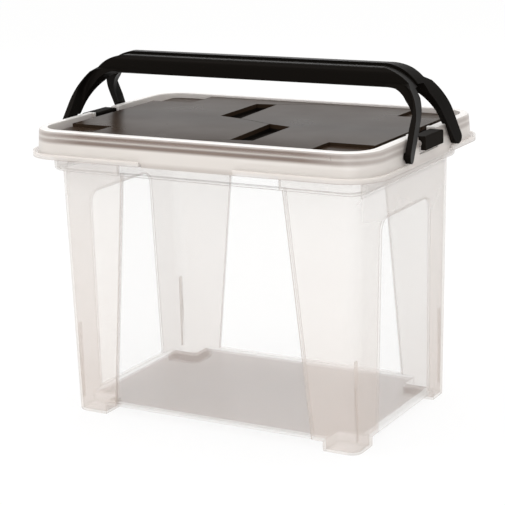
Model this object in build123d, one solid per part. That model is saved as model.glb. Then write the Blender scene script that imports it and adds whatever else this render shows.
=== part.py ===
from build123d import *
import os
from math import atan2, cos, degrees, radians, sin, tan

# Portable file box, millimetres. X is the long side, Y the depth, Z up.
# The origin is the centre of the base, on the plane the feet stand on.

# Shared clearances
runClear = 0.05          # radial, pin in bore
faceGap = 0.4            # half the gap between two parts that face each other
seatGap = 0.3            # loose part above the ledge it comes to rest on
overrun = 1.0            # cutters run past the face they cut by this

# Tub
baseHalfX = 153.3        # outside, at the plane of the feet
baseHalfY = 100.0
collarZ = 240.7
draftAngle = 1.11        # side walls lean out
tubCorner = 11.0         # at the feet, grows with the draft
wall = 2.2
floorThick = 2.4
footHeight = 10.0
footLengthX = 35.3       # feet, from the corner of the base inwards
footLengthY = 30.0
footCorner = 6.0
bottomRound = 2.2

# Corner posts stand proud of the recessed panels between them
panelDepth = 1.5
postLow = 46.9           # from the corner to the long panel, at the floor
postHigh = 68.6          # and at the collar
endPostLow = 42.0        # from the corner to the end window
endPostHigh = 47.0
windowDrop = 31.2        # collar to the top of the window
windowCorner = 12.0
panelRun = 6.0           # panels run down past the floor's edge

# Ribs inside the corner posts
ribInX = 4.3
ribInY = 6.7
ribThick = 1.2
ribWide = 5.0
ribTop = 88.0

# Collar, folder rails and flange
collarStepX = 6.4        # collar stands out from the wall
collarStepY = 5.6
collarCorner = 12.5
collarRound = 4.2
collarTall = 15.3
locatorTall = 5.2        # upstand above the flange that centres the lid
railOut = 2.2            # centre line of a folder rail, outside the foot of the wall
railLength = 180.0
railDrop = 3.6           # rails end below the flange
railRoot = 5.0           # and start below the collar, in the wall
flangeStepX = 30.3
flangeStepY = 29.8
flangeThick = 2.4
flangeCorner = 36.0
lipThick = 1.8
lipRise = 2.5
tabHalfLong = 48.5       # lid tabs that drop through gaps in the flange
tabHalfEnd = 45.5
tabDrop = 3.4
tabGap = 1.0
tabBack = 0.5

# Lid frame
rimTall = 23.6           # above the flange
rimInX = 5.6             # rim inside the flange's edge
rimInY = 6.2
rimCorner = 33.0
skirtFlare = 2.0         # skirt foot stands out from the rim
frameWall = 2.0
rimWidth = 8.0
rimRound = 3.0
ledgeDrop = 14.0
ledgeWidth = 10.0
beadDrop = 5.5
beadTall = 3.0
beadProud = 0.8
beadRound = 0.7
beadEnd = 35.0           # bead stops short of the corner

# Wing hinges, on a bar across a notch in the middle of each end
hingeDrop = 8.0
hingeBarR = 3.0
barRoot = 0.3
notchHalf = 20.8
notchDrop = 4.0          # notch below the ledge
cheek = 4.0
cheekIn = 10.0
saddleDrop = 1.5
saddleHalf = 7.0         # saddle from the hinge line, in and out
saddleEnd = 2.0
saddleRound = 1.6
sheet = 2.4
knuckleR = 5.2
knuckleY = 11.0
knuckleWide = 12.0
clipSlot = 4.6

# Wings; the zig-zag between them is drawn for one half and turned 180 degrees for the other
wingDrop = 2.0           # below the rim
wingRib = 2.0
shelfReach = 6.2
stripDepth = 7.0
cornerDepth = 3.0        # corner recesses take the feet of a second box
cornerLengthX = 63.0
cornerLengthY = 51.6
tongueX = 41.0
tongueRoot = (-27.0, 29.6)      # x, and the distance from the rim's outer edge
zigX = 21.0
zigY = 8.5
stripNear = (-46.5, 15.5)
stripFar = (-48.0, 34.1)        # the distance is from the rim's outer edge
stripLap = 6.0           # strip floor runs under the parting line

# Handles
pivotIn = 71.6           # from the rim's outer edge
pivotDrop = 14.3
pivotR = 3.5
pivotHeadR = 4.3
headThick = 1.3
bossR = 7.0
bossIn = 3.5
legTipR = 6.0
legHalf = 8.6            # half the leg's width where it meets the bar
legThick = 5.6
legOut = 8.4             # outer face at the pivot, outside the rim
legClear = 2.6           # inner face outside the rim
legTurn = 0.165          # legs turn inboard towards the middle, per mm
barRise = 58.0           # top of the grip above the rim
barTall = 17.5
barGap = 0.4
barWide = 16.0
gripRound = 6.0
underRound = 4.2
trim = 0.3               # the arch runs past the grip's section, which cuts it to size
bendOuter = 46.0
bendInner = 33.0
leanTogether = 1.3       # the pair leans to the back by this angle
foldedLean = 72.5        # from upright, when the grip lies on the rim

slope = tan(radians(draftAngle))
footFromX = baseHalfX - footLengthX
footFromY = baseHalfY - footLengthY
panelHalfLow = baseHalfX - postLow
panelHalfHigh = baseHalfX - postHigh
windowHalfLow = baseHalfY - endPostLow
windowHalfHigh = baseHalfY - endPostHigh
windowTop = collarZ - windowDrop
floorTop = footHeight + floorThick
flangeZ = collarZ + collarTall
flangeTop = flangeZ + flangeThick
flangeHalfX = baseHalfX + flangeStepX
flangeHalfY = baseHalfY + flangeStepY
locatorTop = flangeTop + locatorTall
railHalf = baseHalfX + railOut
railTop = flangeZ - railDrop
tabZ = flangeTop - tabDrop

rimTop = flangeTop + rimTall
rimHalfX = flangeHalfX - rimInX
rimHalfY = flangeHalfY - rimInY
skirtSlope = skirtFlare / rimTall
ledgeZ = rimTop - ledgeDrop
beadZ = rimTop - beadDrop
beadHalf = rimHalfX - beadEnd
hingeX = rimHalfX
hingeZ = rimTop - hingeDrop
notchFloor = ledgeZ - notchDrop

wingTop = rimTop - wingDrop
wingEnd = rimHalfX - rimWidth - ledgeWidth
wingFoot = ledgeZ + frameWall + seatGap
shelfZ = wingFoot + seatGap
saddleTop = rimTop - saddleDrop
cornerFromX = rimHalfX - cornerLengthX
cornerFromY = rimHalfY - cornerLengthY
partTongue = (tongueRoot[0], rimHalfY - tongueRoot[1])
partMiddle = (-zigX, zigY)
stripEnd = (stripFar[0], rimHalfY - stripFar[1])

pivotY = rimHalfY - pivotIn
pivotZ = rimTop - pivotDrop
legOuterX = rimHalfX + legOut
legInnerX = rimHalfX + legClear
barHigh = rimTop + barRise
barLow = barHigh - barTall
raisedLean = degrees(atan2(pivotY - barGap - barWide / 2, barHigh - barTall / 2 - pivotZ))
foldAngle = raisedLean + foldedLean


def prism(halfX, halfY, corner, z0, z1):
    face = RectangleRounded(2 * halfX, 2 * halfY, corner)
    return extrude(Plane.XY.offset(z0) * face, z1 - z0)


def drafted(halfX, halfY, corner, z0, z1, lean):
    # half sizes are at z = 0 of the wall they belong to and grow by lean per mm
    low = RectangleRounded(2 * (halfX + lean * z0), 2 * (halfY + lean * z0), corner + lean * z0)
    high = RectangleRounded(2 * (halfX + lean * z1), 2 * (halfY + lean * z1), corner + lean * z1)
    return loft([Plane.XY.offset(z0) * low, Plane.XY.offset(z1) * high], ruled=True)


def block(x0, x1, y0, y1, z0, z1):
    return Pos((x0 + x1) / 2, (y0 + y1) / 2, (z0 + z1) / 2) * Box(x1 - x0, y1 - y0, z1 - z0)


def edgesAt(shape, z, halfX, halfY):
    # edges in the plane z that lie on or outside the given half sizes
    level = shape.edges().filter_by_position(Axis.Z, z - 0.01, z + 0.01)
    return [e for e in level if abs(e.center().X) > halfX or abs(e.center().Y) > halfY]


# ---- tub

def footBlocks(inset, z0, z1):
    feet = []
    for sx in (-1, 1):
        for sy in (-1, 1):
            x0 = footFromX + inset
            y0 = footFromY + inset
            x1 = baseHalfX + footCorner + overrun
            y1 = baseHalfY + footCorner + overrun
            face = RectangleRounded(x1 - x0, y1 - y0, footCorner - inset / 2)
            place = Pos(sx * (x0 + x1) / 2, sy * (y0 + y1) / 2, z0)
            feet.append(place * extrude(face, z1 - z0))
    return feet


def sidePlane(half, turn, depth):
    # plane on a leaning side wall, depth below its surface, normal pointing out
    c = cos(radians(draftAngle))
    s = sin(radians(draftAngle))
    front = Plane(origin=(0, -half + depth * c, depth * s), x_dir=(1, 0, 0), z_dir=(0, -c, -s))
    return Location((0, 0, 0), (0, 0, turn)) * front


def panelFace(grow):
    rise = (panelHalfLow - panelHalfHigh) / (collarZ - footHeight)
    low = footHeight - panelRun
    high = collarZ + grow
    wLow = panelHalfLow + rise * panelRun + grow
    wHigh = panelHalfHigh + grow
    return make_face(Polyline((-wLow, low), (wLow, low), (wHigh, high), (-wHigh, high), close=True))


def windowFace(grow):
    low = footHeight - panelRun
    high = windowTop + grow
    wLow = windowHalfLow + grow
    wHigh = windowHalfHigh + grow
    face = make_face(Polyline((-wLow, low), (wLow, low), (wHigh, high), (-wHigh, high), close=True))
    return fillet(face.vertices().sort_by(Axis.Y)[-2:], windowCorner + grow)


def recesses(grow, depth):
    reach = depth + collarStepX + overrun
    cuts = []
    for turn in (0, 180):
        cuts.append(extrude(sidePlane(baseHalfY, turn, depth) * panelFace(grow), reach))
    for turn in (90, 270):
        cuts.append(extrude(sidePlane(baseHalfX, turn, depth) * windowFace(grow), reach))
    return cuts


def tubBody():
    body = drafted(baseHalfX, baseHalfY, tubCorner, 0, collarZ + wall, slope)
    gap = block(-flangeHalfX, flangeHalfX, -flangeHalfY, flangeHalfY, 0, footHeight)
    for foot in footBlocks(0, 0, footHeight):
        gap -= foot
    body -= gap
    body = fillet(edgesAt(body, 0, 0, 0), bottomRound)
    for cut in recesses(0, panelDepth):
        body -= cut
    return body


def tubCavity():
    inside = (baseHalfX - wall, baseHalfY - wall, tubCorner - wall)
    hollow = drafted(*inside, floorTop, collarZ + wall + overrun, slope)
    for pad in recesses(wall, panelDepth + wall):
        hollow -= pad
    cups = drafted(*inside, floorThick, floorTop + overrun / 5, slope)
    for foot in footBlocks(wall, 0, floorTop + overrun):
        hollow += foot & cups
    return hollow


def collar():
    halfX = baseHalfX + collarStepX
    halfY = baseHalfY + collarStepY
    outer = drafted(halfX, halfY, collarCorner, collarZ, locatorTop, slope)
    outer = fillet(edgesAt(outer, collarZ, 0, 0), collarRound)
    inner = drafted(halfX - wall, halfY - wall, collarCorner - wall, collarZ + wall, locatorTop + overrun, slope)
    return outer, inner


def flange():
    plate = prism(flangeHalfX, flangeHalfY, flangeCorner, flangeZ, flangeTop + lipRise)
    lipTop = flangeTop + lipRise + overrun
    plate -= prism(flangeHalfX - lipThick, flangeHalfY - lipThick, flangeCorner - lipThick, flangeTop, lipTop)
    tabInX = rimHalfX + skirtFlare - frameWall - tabBack
    tabInY = rimHalfY + skirtFlare - frameWall - tabBack
    halfLong = tabHalfLong + tabGap
    halfEnd = tabHalfEnd + tabGap
    low = flangeZ - overrun
    longGap = block(-halfLong, halfLong, tabInY, flangeHalfY + overrun, low, lipTop)
    endGap = block(tabInX, flangeHalfX + overrun, -halfEnd, halfEnd, low, lipTop)
    for gap in (longGap, endGap):
        plate -= gap
        plate -= gap.rotate(Axis.Z, 180)
    return plate


def rails():
    out = []
    for s in (-1, 1):
        x0 = s * railHalf - wall / 2
        out.append(block(x0, x0 + wall, -railLength / 2, railLength / 2, collarZ - railRoot, railTop))
    return out


def cornerRibs(body):
    x = baseHalfX - ribInX
    y = baseHalfY - ribInY
    rib = block(x - ribThick / 2, x + ribThick / 2, y - ribWide / 2, y + ribWide / 2, floorTop - overrun / 2, ribTop)
    rib = rib & body
    pair = [rib, mirror(rib, Plane.YZ)]
    return pair + [mirror(one, Plane.XZ) for one in pair]


def makeTub():
    body = tubBody()
    solid = body
    outer, inner = collar()
    tub = solid + outer + flange()
    tub -= tubCavity()
    tub -= inner
    for rib in cornerRibs(solid):
        tub += rib
    for rail in rails():
        tub += rail
    return tub


# ---- lid frame

def skirt(inset, z0, z1):
    baseX = rimHalfX + skirtSlope * rimTop - inset
    baseY = rimHalfY + skirtSlope * rimTop - inset
    return drafted(baseX, baseY, rimCorner + skirtSlope * rimTop - inset, z0, z1, -skirtSlope)


def skirtTabs():
    # what stays of the skirt below the top of the flange
    low = tabZ - overrun
    keep = block(-tabHalfLong, tabHalfLong, -flangeHalfY, flangeHalfY, low, flangeTop)
    keep += block(-flangeHalfX, flangeHalfX, -tabHalfEnd, tabHalfEnd, low, flangeTop)
    return block(-flangeHalfX, flangeHalfX, -flangeHalfY, flangeHalfY, low, flangeTop) - keep


def hingeMount(s, outer):
    x0 = hingeX - cheekIn
    x1 = flangeHalfX
    cheeks = block(x0, x1, -notchHalf - cheek, notchHalf + cheek, notchFloor, rimTop)
    cheeks -= block(x0, x1, -notchHalf, notchHalf, notchFloor - overrun, rimTop + overrun)
    bar = Pos(hingeX, 0, hingeZ) * Rot(90, 0, 0) * Cylinder(hingeBarR, 2 * (notchHalf + barRoot))
    if s < 0:
        cheeks = cheeks.rotate(Axis.Z, 180)
        bar = bar.rotate(Axis.Z, 180)
    return cheeks & outer, bar


def pivotBore(sx, sy, r, x0, x1):
    return Pos(sx * (x0 + x1) / 2, sy * pivotY, pivotZ) * Rot(0, 90, 0) * Cylinder(r, x1 - x0)


def makeLidFrame():
    outer = skirt(0, tabZ, rimTop)
    outer = fillet(edgesAt(outer, rimTop, 0, 0), rimRound)
    frame = outer - skirtTabs()
    hollow = skirt(frameWall, tabZ - overrun, rimTop - frameWall)
    inX = rimHalfX - rimWidth
    inY = rimHalfY - rimWidth
    inR = rimCorner - rimWidth
    hollow -= prism(inX + frameWall, inY + frameWall, inR + frameWall, ledgeZ, rimTop)
    frame -= hollow
    frame -= prism(inX, inY, inR, ledgeZ + frameWall, rimTop + overrun)
    frame -= prism(inX - ledgeWidth, inY - ledgeWidth, inR - ledgeWidth, tabZ, rimTop)
    for s in (-1, 1):
        beadY = rimHalfY + skirtSlope * (rimTop - beadZ)
        bead = block(-beadHalf, beadHalf, beadY - frameWall / 2, beadY + beadProud, beadZ - beadTall / 2,
                     beadZ + beadTall / 2)
        bead = fillet(bead.edges().filter_by(Axis.X).sort_by(Axis.Y)[-2:], beadRound)
        frame += bead if s > 0 else bead.rotate(Axis.Z, 180)
    for sx in (-1, 1):
        for sy in (-1, 1):
            frame += pivotBore(sx, sy, bossR, rimHalfX - bossIn, flangeHalfX) & outer
            frame -= pivotBore(sx, sy, pivotR + runClear, rimHalfX - bossIn - overrun, flangeHalfX)
    for s in (-1, 1):
        cheeks, bar = hingeMount(s, outer)
        frame += cheeks
        notch = block(hingeX - cheekIn, flangeHalfX, -notchHalf, notchHalf, notchFloor, rimTop + overrun)
        frame -= notch if s > 0 else notch.rotate(Axis.Z, 180)
        frame += bar
    return frame


# ---- wings (the left one; the right one is the same piece turned round)

def wingOutline(xEnd, shrink):
    halfY = rimHalfY - rimWidth
    far = halfY + 4 * faceGap
    half = [(tongueX, far), partTongue, partMiddle]
    line = half + [(-x, -y) for x, y in reversed(half)]
    left = make_face(Polyline(*line, (-flangeHalfX, -far), (-flangeHalfX, far), close=True))
    left = offset(left, -faceGap - shrink, kind=Kind.INTERSECTION)
    inX = rimHalfX - rimWidth - 2 * faceGap - shrink
    inY = halfY - 2 * faceGap - shrink
    pocket = RectangleRounded(2 * inX, 2 * inY, rimCorner - rimWidth - 2 * faceGap - shrink)
    keep = Pos(flangeHalfX - xEnd + shrink, 0) * Rectangle(2 * flangeHalfX, 2 * flangeHalfY)
    return left & pocket & keep


def slab(face, z0, z1):
    return extrude(Plane.XY.offset(z0) * face, z1 - z0)


def stripFace(grow):
    lapTongue = (partTongue[0] + stripLap, partTongue[1])
    lapMiddle = (partMiddle[0] + stripLap, partMiddle[1] - wingRib)
    shape = make_face(Polyline(stripNear, stripEnd, lapTongue, lapMiddle, close=True))
    if grow:
        shape = offset(shape, grow, kind=Kind.INTERSECTION)
    return shape


def cornerPans(z0, z1, grow):
    back = block(-rimHalfX, -cornerFromX + grow, cornerFromY - grow, rimHalfY, z0, z1)
    return [back, mirror(back, Plane.XZ)]


def saddleProfile():
    x0 = hingeX - saddleHalf
    x1 = hingeX + saddleHalf
    outer = [(x1, ledgeZ), (x1, saddleTop), (x0, saddleTop), (x0, shelfZ + sheet)]
    root = [(wingEnd - wingRib, shelfZ + sheet), (wingEnd - wingRib, shelfZ)]
    inner = [(x0 + sheet, shelfZ), (x0 + sheet, saddleTop - sheet), (x1 - sheet, saddleTop - sheet),
             (x1 - sheet, ledgeZ)]
    strap = make_face(Polyline(*outer, *root, *inner, close=True))
    end = make_face(Polyline((x0, shelfZ), (x0, saddleTop), (x1, saddleTop), (x1, ledgeZ), (x0 + sheet, ledgeZ),
                             close=True))
    return strap, end


def saddle():
    strap, end = saddleProfile()
    half = notchHalf - 2 * faceGap
    body = extrude(Plane.XZ * strap, half, both=True)
    for s in (-1, 1):
        body += Pos(0, s * (half - saddleEnd / 2), 0) * extrude(Plane.XZ * end, saddleEnd / 2, both=True)
        body += Pos(hingeX, s * knuckleY, hingeZ) * Rot(90, 0, 0) * Cylinder(knuckleR, knuckleWide)
    top = body.edges().filter_by_position(Axis.Z, saddleTop - 0.01, saddleTop + 0.01)
    body = fillet(top, saddleRound)
    body -= Pos(hingeX, 0, hingeZ) * Rot(90, 0, 0) * Cylinder(hingeBarR + runClear, 3 * notchHalf)
    body -= block(hingeX - clipSlot / 2, hingeX + clipSlot / 2, -notchHalf, notchHalf, notchFloor, hingeZ)
    return body.rotate(Axis.Z, 180)


def makeWing():
    body = slab(wingOutline(wingEnd, 0), wingFoot, wingTop)
    core = slab(wingOutline(wingEnd, wingRib), wingFoot - overrun, wingTop - sheet)
    for pan in cornerPans(wingTop - cornerDepth - sheet, wingTop, sheet):
        core -= pan
    core -= slab(stripFace(sheet), shelfZ, wingTop)
    body -= core
    for pan in cornerPans(wingTop - cornerDepth, wingTop + overrun, 0):
        body -= pan
    body -= slab(stripFace(0), wingTop - stripDepth, wingTop + overrun)
    straight = 2 * (rimHalfY - rimCorner)
    shelf = wingOutline(wingEnd + shelfReach, 0)
    shelf = shelf & (Pos(-wingEnd, 0) * Rectangle(4 * shelfReach, straight))
    body += slab(shelf, shelfZ, shelfZ + sheet)
    body += saddle()
    return body


# ---- handles (the front one; the rear one is the same piece turned round)

def bowHalf(inset, bend, top):
    # half an arch, drawn where the pivots are and pushed inboard as it runs to the middle
    halfX = legOuterX - inset
    foot = pivotZ - 2 * legHalf
    pts = [(-halfX, foot), (bendOuter, foot), (bendOuter, top), (-halfX, top)]
    face = make_face(Polyline(*pts, close=True))
    face = fillet(face.vertices().sort_by(Axis.Y)[-2:].sort_by(Axis.X)[0], bend)
    start = Plane.XZ.offset(pivotY) * face
    run = Vector(legTurn, 1, 0)
    out = extrude(start, (pivotY + barWide) * run.length, dir=run.normalized())
    return out + extrude(start, 2 * legHalf * run.length, dir=-run.normalized())


def bow(inset, bend, top):
    half = bowHalf(inset, bend, top)
    return half + mirror(half, Plane.YZ)


def sideProfile():
    bar = make_face(Polyline((-barGap - barWide, barLow), (-barGap, barLow), (-barGap, barHigh),
                             (-barGap - barWide, barHigh), close=True))
    outerCorners = bar.vertices().sort_by(Axis.X)[:2].sort_by(Axis.Y)
    bar = fillet(outerCorners[-1], gripRound)
    bar = fillet(bar.vertices().sort_by(Axis.Y)[0:2].sort_by(Axis.X)[0], underRound)
    barMid = (-barGap - barWide / 2, (barLow + barHigh) / 2)
    dy = barMid[0] + pivotY
    dz = barMid[1] - pivotZ
    run = (dy * dy + dz * dz) ** 0.5
    n = (dz / run, -dy / run)
    p = (-pivotY, pivotZ)
    k = 0.8
    q = (p[0] + k * dy, p[1] + k * dz)
    leg = make_face(Polyline((p[0] - n[0] * legTipR, p[1] - n[1] * legTipR),
                             (p[0] + n[0] * legTipR, p[1] + n[1] * legTipR),
                             (q[0] + n[0] * legHalf, q[1] + n[1] * legHalf),
                             barMid,
                             (q[0] - n[0] * legHalf, q[1] - n[1] * legHalf), close=True))
    tip = Pos(p[0], p[1]) * Circle(legTipR)
    return bar, leg + tip


def gripFront():
    # keeps the grip's front flat and lets it flare into the legs at the bends
    y = -barGap - barWide
    x = legOuterX - bendOuter
    side = [(x, y), (x + 2 * barWide, y - barWide), (x + 2 * barWide, -pivotY)]
    pts = side + [(-u, v) for u, v in reversed(side)]
    face = make_face(Polyline(*pts, close=True))
    face = fillet(face.vertices().sort_by(Axis.Y)[-2:], bendOuter)
    return extrude(Plane.XY.offset(barLow - overrun) * face, 2 * barTall)


def foldedRoom():
    # the rim and the opening inside it as they lie under the folded handle, turned back to the raised one
    pivot = Axis((0, -pivotY, pivotZ), (1, 0, 0))
    rim = skirt(-faceGap, flangeTop, rimTop + faceGap)
    rim = fillet(edgesAt(rim, rimTop + faceGap, 0, 0), rimRound)
    opening = prism(rimHalfX - rimWidth, rimHalfY - rimWidth, rimCorner - rimWidth, rimTop, barHigh)
    return [rim.rotate(pivot, -foldAngle), opening.rotate(pivot, -foldAngle)]


def makeHandle():
    bar, leg = sideProfile()
    side = extrude(Plane.YZ * bar, flangeHalfX, both=True) + extrude(Plane.YZ * leg, legOuterX + legOut, both=True)
    arch = bow(0, bendOuter, barHigh + trim) - bow(legThick, bendInner, barLow - trim)
    body = arch & side - gripFront()
    body -= block(-legInnerX, legInnerX, -flangeHalfY, pivotY, collarZ, rimTop + faceGap)
    for room in foldedRoom():
        body -= room
    for sx in (-1, 1):
        body += pivotBore(sx, -1, pivotR, rimHalfX - bossIn - seatGap, legInnerX + overrun)
        body += pivotBore(sx, -1, pivotHeadR, rimHalfX - bossIn - seatGap - headThick, rimHalfX - bossIn - seatGap)
    return body


def main():
    pivot = Axis((0, -pivotY, pivotZ), (1, 0, 0))
    handle = makeHandle()
    wing = makeWing()
    parts = {
        "tub": makeTub(),
        "lid_frame": makeLidFrame(),
        "wing_left": wing,
        "wing_right": wing.rotate(Axis.Z, 180),
        "handle_front": handle.rotate(pivot, -leanTogether),
        "handle_rear": handle.rotate(pivot, leanTogether).rotate(Axis.Z, 180),
    }
    for name, shape in parts.items():
        shape.label = name
        export_step(shape, "parts/" + name + ".step")
        print(name, len(shape.solids()), round(shape.volume), shape.is_valid)


main()
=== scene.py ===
import math

import bmesh
import bpy
from mathutils import Matrix, Vector

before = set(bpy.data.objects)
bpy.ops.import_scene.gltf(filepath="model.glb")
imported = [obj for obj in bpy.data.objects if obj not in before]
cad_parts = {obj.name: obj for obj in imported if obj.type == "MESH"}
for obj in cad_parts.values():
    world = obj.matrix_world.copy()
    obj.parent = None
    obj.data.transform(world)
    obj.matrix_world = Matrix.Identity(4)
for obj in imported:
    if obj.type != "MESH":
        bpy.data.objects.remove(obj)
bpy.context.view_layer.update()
print("frame loaded:", sorted(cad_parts))
mm = 0.001


def linearColour(code):
    # sRGB hex to the linear value that the shaders want
    channels = [int(code[i:i + 2], 16) / 255 for i in (1, 3, 5)]
    return [c / 12.92 if c <= 0.04045 else ((c + 0.055) / 1.055) ** 2.4 for c in channels] + [1.0]


def addNode(tree, kind, inputs=None, **settings):
    # an input is a value, a socket, or a node whose first output in use is meant
    node = tree.nodes.new("ShaderNode" + kind)
    for key, value in settings.items():
        setattr(node, key, value)
    for key, value in (inputs or {}).items():
        if isinstance(value, bpy.types.Node):
            value = next(socket for socket in value.outputs if socket.enabled)
        if isinstance(value, bpy.types.NodeSocket):
            tree.links.new(value, node.inputs[key])
        else:
            node.inputs[key].default_value = value
    return node


def newMaterial(name):
    material = bpy.data.materials.new(name)
    material.use_nodes = True
    material.node_tree.nodes.clear()
    return material, material.node_tree


def dress(nodeName, material):
    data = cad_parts[nodeName].data
    data.materials.clear()
    data.materials.append(material)
    for face in data.polygons:
        face.material_index = 0


def reachOf(nodeName, axis):
    # how far the piece's mesh reaches from the origin along x, y or z
    return max(abs(vertex.co[axis]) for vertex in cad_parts[nodeName].data.vertices)


# what all the pieces share: each is moulded polypropylene
plastic = {
    "ior": 1.49,
    "grainDeep": 0.05 * mm,
    "grainDetail": 3.0,
    "cloudDetail": 2.0,
    "cloudDark": 0.3,       # the noise seldom leaves these two values
    "cloudPale": 0.7,
    "turned": 0.7,          # a face is turned along an axis from this share of its normal
    "bevelSamples": 8,
    "edgeFull": 0.8,        # how far the bevelled and the true normal agree on a sharp edge
    "edgeNone": 0.98,       # and off it
}


def grainBump(tree, place, size, strength):
    # moulded grain is about 0.1 mm, too fine to show, so it is drawn several times as coarse
    grain = addNode(tree, "TexNoise", {"Vector": place, "Scale": 1 / size, "Detail": plastic["grainDetail"]})
    return addNode(tree, "Bump", {"Strength": strength, "Distance": plastic["grainDeep"], "Height": grain})


def cloudValue(tree, place, size, low, high):
    # slow changes across the piece, from the way that the plastic cooled in its mould
    cloud = addNode(tree, "TexNoise", {"Vector": place, "Scale": 1 / size, "Detail": plastic["cloudDetail"]})
    return addNode(tree, "MapRange", {0: cloud, 1: plastic["cloudDark"], 2: plastic["cloudPale"], 3: low, 4: high})


def edgeMask(tree, width):
    # one along sharp edges, where a clear wall is seen through its thickness; the tub also darkens it there as
    # painted shade
    bevel = addNode(tree, "Bevel", {"Radius": width}, samples=plastic["bevelSamples"])
    face = addNode(tree, "NewGeometry")
    agree = addNode(tree, "VectorMath", {0: bevel, 1: face.outputs["True Normal"]}, operation="DOT_PRODUCT")
    return addNode(tree, "MapRange", {0: agree, 1: plastic["edgeNone"], 2: plastic["edgeFull"], 3: 0.0, 4: 1.0})


def within(tree, value, low, high):
    # one where the value lies between the two limits
    over = addNode(tree, "Math", {0: value, 1: low}, operation="GREATER_THAN")
    under = addNode(tree, "Math", {0: value, 1: high}, operation="LESS_THAN")
    return addNode(tree, "Math", {0: over, 1: under}, operation="MULTIPLY")


def fadeFrom(tree, value, place, core, width):
    # one within the core of a place, and down to nothing at the width from it
    away = addNode(tree, "Math", {0: value, 1: place}, operation="SUBTRACT")
    away = addNode(tree, "Math", {0: away}, operation="ABSOLUTE")
    return addNode(tree, "MapRange", {0: away, 1: core, 2: width, 3: 1.0, 4: 0.0})


def outwardReach(tree, place):
    # how far out a face stands in the direction in which it looks; less than nothing on inner walls
    level = addNode(tree, "VectorMath", {0: place.outputs["Object"], 1: (1, 1, 0)}, operation="MULTIPLY")
    return addNode(tree, "VectorMath", {0: level, 1: place.outputs["Normal"]}, operation="DOT_PRODUCT")


def finishMilky(tree, colour, normal, look, alpha):
    # a milky wall: some light comes through it from behind, and what it lacks in alpha is seen straight through
    gloss = addNode(tree, "BsdfPrincipled", {
        "Base Color": colour, "Roughness": look["roughness"], "IOR": plastic["ior"], "Normal": normal})
    glow = addNode(tree, "BsdfTranslucent", {"Color": colour})
    body = addNode(tree, "MixShader", {0: look["glow"], 1: gloss, 2: glow})
    behind = addNode(tree, "BsdfTransparent", {"Color": (1, 1, 1, 1)})
    wall = addNode(tree, "MixShader", {0: alpha, 1: behind, 2: body})
    addNode(tree, "OutputMaterial", {"Surface": wall})


tubTop = reachOf("tub", 2)
tubHalfX = reachOf("tub", 0)
tubHalfY = reachOf("tub", 1)

tubLook = {
    "clear": "#FBFAF9",
    # the frost is paler at the top and darker at the base, a painted shade
    "frostHigh": "#F3EEEA",
    "frostShadedBase": "#E2D7CF",
    # the floor is denser, and its darker colour is painted shade inside the box
    "floor": "#B29B8D",
    # the round where the floor turns up, paler by a painted highlight
    "turn": "#FFFDFB",
    # dark lines along edges and steps are painted shade, and the one at the flange's foot a painted shadow
    "line": "#B3A8A1",
    "clearAlpha": 0.04,
    "frostAlpha": 0.25,
    "floorAlpha": 0.34,
    "turnAlpha": 0.36,
    "facingAlpha": 0.2,
    "facingBlend": 0.2,
    "lineAlpha": 0.34,
    "flangeAlpha": 0.5,
    "glow": 0.35,
    "roughness": 0.2,
    "grain": 0.8 * mm,
    "grainStrength": 0.02,
    "cloud": 45 * mm,
    "cloudSwing": 0.06,
    "lineWidth": 1.3 * mm,
    "edgeWidth": 1.0 * mm,
    "baseZ": 10.0 * mm,
    "cupZ": 9.0 * mm,       # below this are the hollow feet
    "floorZ": 13.0 * mm,    # the floor's upper face lies under this
    "turnZ": 13.8 * mm,     # and its round into the walls ends here
    "turnAway": 20 * mm,    # faces that look outwards from further out are outer walls
    "floorHalfX": tubHalfX - 39.6 * mm,
    "floorHalfY": tubHalfY - 38.8 * mm,
    "floorFade": 2.0 * mm,
    "collarZ": tubTop - 22.9 * mm,
    "flangeZ": tubTop - 7.8 * mm,
    # half widths at the base and at the collar, the height and round of the top edge, and where the recess ends;
    # a panel runs on up to the flange, so its top edge is put above the tub
    "panel": {
        "low": tubHalfX - 77.2 * mm, "high": tubHalfX - 98.9 * mm,
        "top": tubTop + 36.4 * mm, "corner": 3.0 * mm, "end": tubTop - 7.6 * mm},
    "window": {
        "low": tubHalfY - 71.8 * mm, "high": tubHalfY - 76.8 * mm,
        "top": tubTop - 54.1 * mm, "corner": 12.0 * mm, "end": tubTop - 54.1 * mm},
}


def panelMasks(tree, across, height, turned, shape, look):
    # one on a side's recessed panel, between its leaning edges and under its round corners
    half = addNode(tree, "MapRange", {
        0: height, 1: look["baseZ"], 2: look["collarZ"], 3: shape["low"], 4: shape["high"]})
    side = addNode(tree, "Math", {0: across, 1: half}, operation="SUBTRACT")
    side = addNode(tree, "Math", {0: side, 1: shape["corner"]}, operation="ADD")
    side = addNode(tree, "Math", {0: side, 1: 0.0}, operation="MAXIMUM")
    rise = addNode(tree, "Math", {0: height, 1: shape["top"] - shape["corner"]}, operation="SUBTRACT")
    rise = addNode(tree, "Math", {0: rise, 1: 0.0}, operation="MAXIMUM")
    corner = addNode(tree, "CombineXYZ", {0: side, 1: rise})
    fromCorner = addNode(tree, "VectorMath", {0: corner}, operation="LENGTH")
    past = addNode(tree, "Math", {0: fromCorner, 1: shape["corner"]}, operation="SUBTRACT")
    facing = addNode(tree, "Math", {0: turned, 1: plastic["turned"]}, operation="GREATER_THAN")
    under = addNode(tree, "Math", {0: height, 1: shape["end"] + look["lineWidth"]}, operation="LESS_THAN")
    facing = addNode(tree, "Math", {0: facing, 1: under}, operation="MULTIPLY")
    inside = addNode(tree, "Math", {0: past, 1: 0.0}, operation="LESS_THAN")
    inside = addNode(tree, "Math", {0: inside, 1: facing}, operation="MULTIPLY")
    # and one along those edges, where the tub draws a line of painted shade
    line = fadeFrom(tree, past, 0.0, 0.0, look["lineWidth"])
    line = addNode(tree, "Math", {0: line, 1: facing}, operation="MULTIPLY")
    return inside, line


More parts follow.
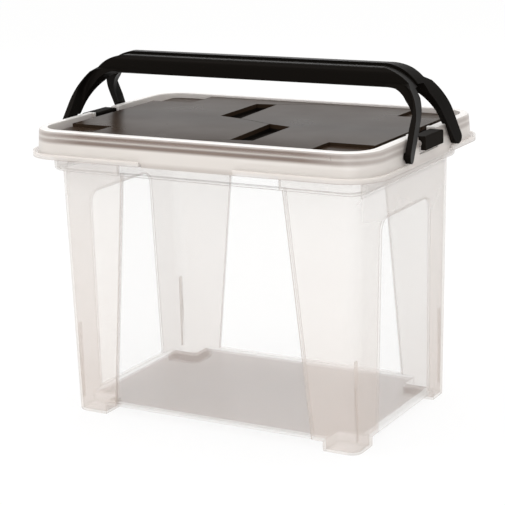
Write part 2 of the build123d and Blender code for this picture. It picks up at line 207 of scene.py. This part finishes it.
def floorMasks(tree, place, height, far, turned, clear, look):
    # one on the floor, short of the round where it meets the walls; its darker colour is painted shade inside the
    # box
    level = addNode(tree, "Math", {0: turned.outputs[2], 1: plastic["turned"]}, operation="GREATER_THAN")
    flat = within(tree, height, look["cupZ"], look["floorZ"])
    flat = addNode(tree, "Math", {0: flat, 1: level}, operation="MULTIPLY")
    for axis, half in ((0, look["floorHalfX"]), (1, look["floorHalfY"])):
        inward = addNode(tree, "MapRange", {
            0: far.outputs[axis], 1: half, 2: half + look["floorFade"], 3: 1.0, 4: 0.0})
        flat = addNode(tree, "Math", {0: flat, 1: inward}, operation="MULTIPLY")
    # and one on the round where it turns up into clear walls, denser edge on and paler by a painted highlight
    turn = within(tree, height, look["cupZ"], look["turnZ"])
    inner = addNode(tree, "Math", {0: outwardReach(tree, place), 1: look["turnAway"]}, operation="LESS_THAN")
    smooth = addNode(tree, "Math", {0: clear, 1: level}, operation="MAXIMUM")
    for mask in (inner, smooth):
        turn = addNode(tree, "Math", {0: turn, 1: mask}, operation="MULTIPLY")
    turn = addNode(tree, "Math", {0: turn, 1: flat}, operation="SUBTRACT", use_clamp=True)
    return flat, turn


def makeTubMaterial(look):
    # natural polypropylene, injection moulded: the panels come from a polished mould and are nearly clear,
    # and the posts, feet and collar from an etched one, which leaves them milky white; the wall looks denser
    # edge on, along its steps and on the floor, and the thick flange is almost solid; the darkening towards
    # the base, the darker floor and the dark lines along edges, steps and the flange's foot are painted shade,
    # and the pale round where the floor turns up is a painted highlight
    material, tree = newMaterial("naturalPolypropylene")
    place = addNode(tree, "TexCoord")
    spot = addNode(tree, "SeparateXYZ", {0: place.outputs["Object"]})
    far = addNode(tree, "VectorMath", {0: place.outputs["Object"]}, operation="ABSOLUTE")
    far = addNode(tree, "SeparateXYZ", {0: far})
    turned = addNode(tree, "VectorMath", {0: place.outputs["Normal"]}, operation="ABSOLUTE")
    turned = addNode(tree, "SeparateXYZ", {0: turned})
    height = spot.outputs[2]
    panel, panelLine = panelMasks(tree, far.outputs[0], height, turned.outputs[1], look["panel"], look)
    window, windowLine = panelMasks(tree, far.outputs[1], height, turned.outputs[0], look["window"], look)
    clear = addNode(tree, "Math", {0: panel, 1: window}, operation="MAXIMUM")
    flat, turn = floorMasks(tree, place, height, far, turned, clear, look)
    line = edgeMask(tree, look["edgeWidth"])
    for mask in (panelLine, windowLine):
        line = addNode(tree, "Math", {0: line, 1: mask}, operation="MAXIMUM")
    flange = addNode(tree, "Math", {0: height, 1: look["flangeZ"]}, operation="GREATER_THAN")

    alpha = addNode(tree, "MapRange", {0: clear, 1: 0.0, 2: 1.0, 3: look["frostAlpha"], 4: look["clearAlpha"]})
    for mask, name in ((flat, "floorAlpha"), (turn, "turnAlpha")):
        least = addNode(tree, "Math", {0: mask, 1: look[name]}, operation="MULTIPLY")
        alpha = addNode(tree, "Math", {0: alpha, 1: least}, operation="MAXIMUM")
    edgeOn = addNode(tree, "LayerWeight", {"Blend": look["facingBlend"]}).outputs["Facing"]
    for mask, name in ((edgeOn, "facingAlpha"), (line, "lineAlpha")):
        alpha = addNode(tree, "Math", {0: mask, 1: look[name], 2: alpha}, operation="MULTIPLY_ADD")
    least = addNode(tree, "Math", {0: flange, 1: look["flangeAlpha"]}, operation="MULTIPLY")
    alpha = addNode(tree, "Math", {0: alpha, 1: least}, operation="MAXIMUM")

    # the frost darkens towards the base, a painted shade, with random tone from the cloud; the dark lines
    # along edges and steps are painted shade, and the one along the flange's foot a painted shadow
    frostShadeAndCloud = addNode(tree, "MapRange", {0: height, 1: look["baseZ"], 2: look["collarZ"], 3: 0.0, 4: 1.0})
    swing = look["cloudSwing"]
    cloud = cloudValue(tree, place.outputs["Object"], look["cloud"], -swing, swing)
    frostShadeAndCloud = addNode(tree, "Math", {0: frostShadeAndCloud, 1: cloud}, operation="ADD")
    line = addNode(tree, "Math", {0: line, 1: flange}, operation="SUBTRACT")
    foot = fadeFrom(tree, height, look["flangeZ"], 0.0, look["lineWidth"])
    line = addNode(tree, "Math", {0: line, 1: foot}, operation="MAXIMUM")
    colour = linearColour(look["frostShadedBase"])
    for mask, name in ((frostShadeAndCloud, "frostHigh"), (clear, "clear"), (turn, "turn"), (flat, "floor"), (line, "line")):
        colour = addNode(tree, "Mix", {0: mask, 6: colour, 7: linearColour(look[name])}, data_type="RGBA")
    grain = grainBump(tree, place.outputs["Object"], look["grain"], look["grainStrength"])
    finishMilky(tree, colour, grain, look, alpha)
    return material


dress("tub", makeTubMaterial(tubLook))
print("tub: clear panels and frosted posts")


frameTop = reachOf("lid_frame", 2)
frameHalfX = reachOf("lid_frame", 0)

frameLook = {
    "skirt": "#E6E1DC",
    # painted shade for the two grooves under the rim and along the skirt's foot
    "paintedGrooveShade": "#8F8078",
    "inside": "#E4DFDB",
    # the rim's top, whiter by a painted highlight
    "top": "#F4F1EE",
    "topZ": frameTop - 0.7 * mm,
    "topAlpha": 0.3,
    "alpha": 0.66,
    "facingAlpha": 0.2,
    "facingBlend": 0.3,
    "glow": 0.25,
    "roughness": 0.25,
    "grain": 0.8 * mm,
    "grainStrength": 0.06,
    "grooveZ": [frameTop - 3.5 * mm, frameTop - 9.0 * mm],
    "grooveHalf": 3.4 * mm,
    "grooveCore": 0.85 * mm,
    "footZ": frameTop - 25.5 * mm,
    "footTall": 4.0 * mm,
    "footShade": 0.4,
    "easeFromX": frameHalfX - 66.0 * mm,     # from here outwards the painted shade of the grooves grows fainter
    "easeToX": frameHalfX - 9.0 * mm,
    "easeShare": 0.45,
}


def grooveShade(tree, height, look):
    # how much painted shade the skirt takes at a height: most in the two grooves under the rim, some along its
    # foot
    shade = addNode(tree, "MapRange", {
        0: height, 1: look["footZ"], 2: look["footZ"] + look["footTall"], 3: look["footShade"], 4: 0.0})
    for grooveZ in look["grooveZ"]:
        paintedGrooveShade = fadeFrom(tree, height, grooveZ, look["grooveCore"], look["grooveHalf"])
        shade = addNode(tree, "Math", {0: shade, 1: paintedGrooveShade}, operation="MAXIMUM")
    return shade


def makeFrameMaterial(look):
    # natural polypropylene, injection moulded in an etched mould: a soft milky white that lets some light
    # through; the rim is hollow, and its outer wall carries painted shade in the grooves and along its foot,
    # less so towards the ends of the box; its thick top is denser, and whiter by a painted highlight
    material, tree = newMaterial("frostedPolypropylene")
    place = addNode(tree, "TexCoord")
    spot = addNode(tree, "SeparateXYZ", {0: place.outputs["Object"]})
    height = spot.outputs[2]
    # the painted shade goes on outward faces only, and eases off towards the ends of the box
    outer = addNode(tree, "Math", {0: outwardReach(tree, place), 1: 0.0}, operation="GREATER_THAN")
    farX = addNode(tree, "Math", {0: spot.outputs[0]}, operation="ABSOLUTE")
    strength = addNode(tree, "MapRange", {
        0: farX, 1: look["easeFromX"], 2: look["easeToX"], 3: 1.0, 4: look["easeShare"]})
    outer = addNode(tree, "Math", {0: outer, 1: strength}, operation="MULTIPLY")
    # the top's whiter colour is a painted highlight; its added alpha is its thickness
    top = addNode(tree, "Math", {0: height, 1: look["topZ"]}, operation="GREATER_THAN")
    skirt = addNode(tree, "Mix", {
        0: grooveShade(tree, height, look), 6: linearColour(look["skirt"]), 7: linearColour(look["paintedGrooveShade"])},
        data_type="RGBA")
    colour = linearColour(look["inside"])
    for mask, over in ((outer, skirt), (top, linearColour(look["top"]))):
        colour = addNode(tree, "Mix", {0: mask, 6: colour, 7: over}, data_type="RGBA")
    alpha = look["alpha"]
    edgeOn = addNode(tree, "LayerWeight", {"Blend": look["facingBlend"]}).outputs["Facing"]
    for mask, name in ((edgeOn, "facingAlpha"), (top, "topAlpha")):
        alpha = addNode(tree, "Math", {0: mask, 1: look[name], 2: alpha}, operation="MULTIPLY_ADD")
    grain = grainBump(tree, place.outputs["Object"], look["grain"], look["grainStrength"])
    finishMilky(tree, colour, grain, look, alpha)
    return material


dress("lid_frame", makeFrameMaterial(frameLook))
print("lid frame: frosted white with two grooves under the rim")


wingLook = {
    "face": "#30251C",
    # darker colour of the sunk strips and hinge hoods: painted shade
    "deep": "#15120F",
    "glint": "#F4E2D6",
    "shine": 0.03,
    "roughness": 0.3,
    "dullRoughness": 0.7,
    "stripZ": reachOf("wing_left", 2) - 4.5 * mm,
    "hoodX": reachOf("wing_left", 0) - 15.4 * mm,
    "grain": 0.6 * mm,
    "grainStrength": 0.1,
    "cloud": 60 * mm,
    "cloudSwing": 0.03,
}


def makeWingMaterial(look):
    # black polypropylene, injection moulded with a satin face: a warm black with a broad, weak shine;
    # the sunk strips and the hinge hoods come from coarser steel and stay dull;
    # their darker colour is painted shade
    material, tree = newMaterial("satinBlackPolypropylene")
    place = addNode(tree, "TexCoord")
    spot = addNode(tree, "SeparateXYZ", {0: place.outputs["Object"]})
    farX = addNode(tree, "Math", {0: spot.outputs[0]}, operation="ABSOLUTE")
    sunk = addNode(tree, "Math", {0: spot.outputs[2], 1: look["stripZ"]}, operation="LESS_THAN")
    hood = addNode(tree, "Math", {0: farX, 1: look["hoodX"]}, operation="GREATER_THAN")
    # the strips and hoods: rougher, and darker by painted shade
    dull = addNode(tree, "Math", {0: sunk, 1: hood}, operation="MAXIMUM")
    colour = addNode(tree, "Mix", {
        0: dull, 6: linearColour(look["face"]), 7: linearColour(look["deep"])}, data_type="RGBA")
    rough = addNode(tree, "MapRange", {0: dull, 1: 0.0, 2: 1.0, 3: look["roughness"], 4: look["dullRoughness"]})
    swing = look["cloudSwing"]
    cloud = cloudValue(tree, place.outputs["Object"], look["cloud"], -swing, swing)
    rough = addNode(tree, "Math", {0: rough, 1: cloud}, operation="ADD")
    gloss = addNode(tree, "BsdfPrincipled", {
        "Base Color": colour, "Roughness": rough, "IOR": plastic["ior"],
        "Specular IOR Level": look["shine"], "Specular Tint": linearColour(look["glint"]),
        "Normal": grainBump(tree, place.outputs["Object"], look["grain"], look["grainStrength"])})
    addNode(tree, "OutputMaterial", {"Surface": gloss})
    return material


wingMaterial = makeWingMaterial(wingLook)
for name in ("wing_left", "wing_right"):
    dress(name, wingMaterial)
print("wings: satin black")


handleLook = {
    "colour": "#0F0D0B",
    "glint": "#F4E2D6",
    "shine": 0.025,
    "roughness": 0.34,
    "grain": 0.6 * mm,
    "grainStrength": 0.1,
    "cloud": 40 * mm,
    "cloudSwing": 0.04,
}


def makeHandleMaterial(look):
    # black polypropylene, injection moulded in a spark-eroded mould: its fine grain breaks up the shine,
    # so the handles look deep black with soft pale edges
    material, tree = newMaterial("grainedBlackPolypropylene")
    place = addNode(tree, "TexCoord").outputs["Object"]
    glossy, dull = look["roughness"] - look["cloudSwing"], look["roughness"] + look["cloudSwing"]
    gloss = addNode(tree, "BsdfPrincipled", {
        "Base Color": linearColour(look["colour"]), "IOR": plastic["ior"],
        "Roughness": cloudValue(tree, place, look["cloud"], glossy, dull),
        "Specular IOR Level": look["shine"], "Specular Tint": linearColour(look["glint"]),
        "Normal": grainBump(tree, place, look["grain"], look["grainStrength"])})
    addNode(tree, "OutputMaterial", {"Surface": gloss})
    return material


handleMaterial = makeHandleMaterial(handleLook)
for name in ("handle_front", "handle_rear"):
    dress(name, handleMaterial)
print("handles: grained black")


# a plain pale floor, a white surround and soft lamps; lengths in metres, powers in watts
studio = {
    "floorHalf": 6.0,
    "floorColour": "#F2F1EF",
    "floorWhite": 0.88,     # share of the floor's seen colour that is plain white
    "white": 1.0,
    "worldLight": 1.0,
    "lampAim": (0.0, 0.0, 0.15),
    "lamps": [
        {"name": "keyLamp", "at": (-1.6, -1.8, 2.4), "size": 1.6, "power": 26},
        {"name": "topLamp", "at": (0.2, 0.4, 2.6), "size": 1.8, "power": 19},
        {"name": "frontLamp", "at": (0.9, -2.4, 0.55), "size": 1.4, "power": 16},
        {"name": "backLamp", "at": (-1.07, 1.88, 1.5), "size": 0.9, "power": 6},
    ],
}


def seenRay(tree):
    # one for what the camera sees straight, mirrored or through the plastic
    path = addNode(tree, "LightPath")
    seen = path.outputs["Is Camera Ray"]
    for name in ("Is Glossy Ray", "Is Transmission Ray"):
        seen = addNode(tree, "Math", {0: seen, 1: path.outputs[name]}, operation="MAXIMUM")
    return seen


def makeFloor(look):
    mesh = bpy.data.meshes.new("floor")
    form = bmesh.new()
    bmesh.ops.create_grid(form, x_segments=1, y_segments=1, size=look["floorHalf"])
    form.to_mesh(mesh)
    form.free()
    floor = bpy.data.objects.new("floor", mesh)
    bpy.context.scene.collection.objects.link(floor)
    # studio paper, matt and rolled smooth: it goes white where it is lit and keeps the box's soft shadow
    material, tree = newMaterial("paperSweep")
    share = addNode(tree, "Math", {0: seenRay(tree), 1: look["floorWhite"]}, operation="MULTIPLY")
    paper = addNode(tree, "BsdfDiffuse", {"Color": linearColour(look["floorColour"])})
    white = addNode(tree, "Emission", {"Color": (1, 1, 1, 1), "Strength": look["white"]})
    mixed = addNode(tree, "MixShader", {0: share, 1: paper, 2: white})
    addNode(tree, "OutputMaterial", {"Surface": mixed})
    mesh.materials.append(material)


def makeWorld(look):
    world = bpy.data.worlds.new("studioWorld")
    world.use_nodes = True
    tree = world.node_tree
    tree.nodes.clear()
    strength = addNode(tree, "MapRange", {
        0: seenRay(tree), 1: 0.0, 2: 1.0, 3: look["worldLight"], 4: look["white"]})
    light = addNode(tree, "Background", {"Color": (1, 1, 1, 1), "Strength": strength})
    addNode(tree, "OutputWorld", {"Surface": light})
    bpy.context.scene.world = world


def makeLamps(look):
    for item in look["lamps"]:
        data = bpy.data.lights.new(item["name"], "AREA")
        data.shape = "SQUARE"
        data.size = item["size"]
        data.energy = item["power"]
        lamp = bpy.data.objects.new(item["name"], data)
        lamp.location = item["at"]
        toAim = Vector(look["lampAim"]) - Vector(item["at"])
        lamp.rotation_euler = toAim.to_track_quat("-Z", "Y").to_euler()
        bpy.context.scene.collection.objects.link(lamp)


makeFloor(studio)
makeWorld(studio)
makeLamps(studio)
print("studio set")


# angles in degrees; the azimuth turns from the front towards the right, the lens is in mm of a 36 mm frame
view = {
    "at": (781.426 * mm, -1382.856 * mm, 554.396 * mm),
    "azimuth": 29.676,
    "elevation": 14.235,
    "roll": -1.643,
    "lens": 120.64,
    "sensor": 36.0,
    "farEnd": 30.0,         # past the floor's far edge, in metres
}


def makeCamera(look):
    data = bpy.data.cameras.new("camera")
    data.lens = look["lens"]
    data.sensor_width = look["sensor"]
    data.clip_end = look["farEnd"]
    camera = bpy.data.objects.new("camera", data)
    az, el, roll = (math.radians(look[key]) for key in ("azimuth", "elevation", "roll"))
    back = Vector((math.sin(az) * math.cos(el), -math.cos(az) * math.cos(el), math.sin(el)))
    level = Vector((math.cos(az), math.sin(az), 0))
    upright = Vector((-math.sin(az) * math.sin(el), math.cos(az) * math.sin(el), math.cos(el)))
    right = level * math.cos(roll) + upright * math.sin(roll)
    up = upright * math.cos(roll) - level * math.sin(roll)
    turn = Matrix((right, up, back)).transposed().to_4x4()
    camera.matrix_world = Matrix.Translation(look["at"]) @ turn
    bpy.context.scene.collection.objects.link(camera)
    bpy.context.scene.camera = camera


makeCamera(view)
bpy.context.scene.view_settings.view_transform = "Standard"
print("camera set")
